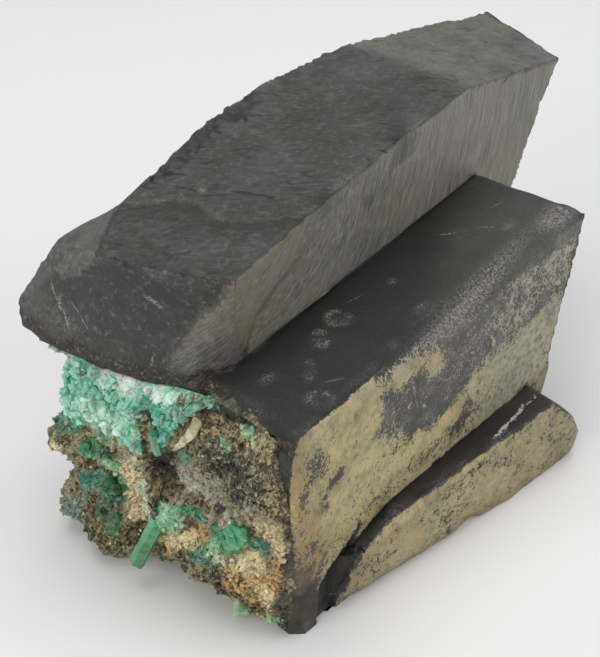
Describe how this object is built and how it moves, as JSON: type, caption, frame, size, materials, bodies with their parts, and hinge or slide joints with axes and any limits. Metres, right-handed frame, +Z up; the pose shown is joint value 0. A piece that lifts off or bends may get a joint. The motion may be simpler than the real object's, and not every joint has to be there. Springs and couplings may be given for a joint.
{
  "type": "emerald crystal cluster",
  "caption": "Rough block of black shale that rests on its flat underside, with emerald crystals in a calcite and pyrite crust on its broken end.",
  "frame": {"origin": "bottom centre of the specimen's box, on the surface it rests on", "axes": "+X along the stone, away from the crystal end; +Y towards its hidden back; +Z up"},
  "size_m": [0.1894, 0.1056, 0.097],
  "materials": {
    "shale": "matt to satin black shale, with an olive-yellow mineral coating on its joint faces",
    "crust": "rough cream calcite with brown-black pyrite grains",
    "druse": "translucent turquoise-green beryl, fine glassy crystals",
    "calcite": "satin cream calcite",
    "emerald": "glassy, translucent green emerald"
  },
  "bodies": {
    "root": {"black_shale": "shale", "mineral_crust": "crust", "emerald_druse": "druse", "calcite_blade": "calcite", "emerald_prism_large": "emerald", "emerald_prism_upper": "emerald", "emerald_block": "emerald", "emerald_sliver": "emerald", "emerald_left_high": "emerald", "emerald_left_middle": "emerald", "emerald_left_low": "emerald", "emerald_left_foot": "emerald", "emerald_foot_near": "emerald", "emerald_foot_far": "emerald"}
  },
  "joints": []
}
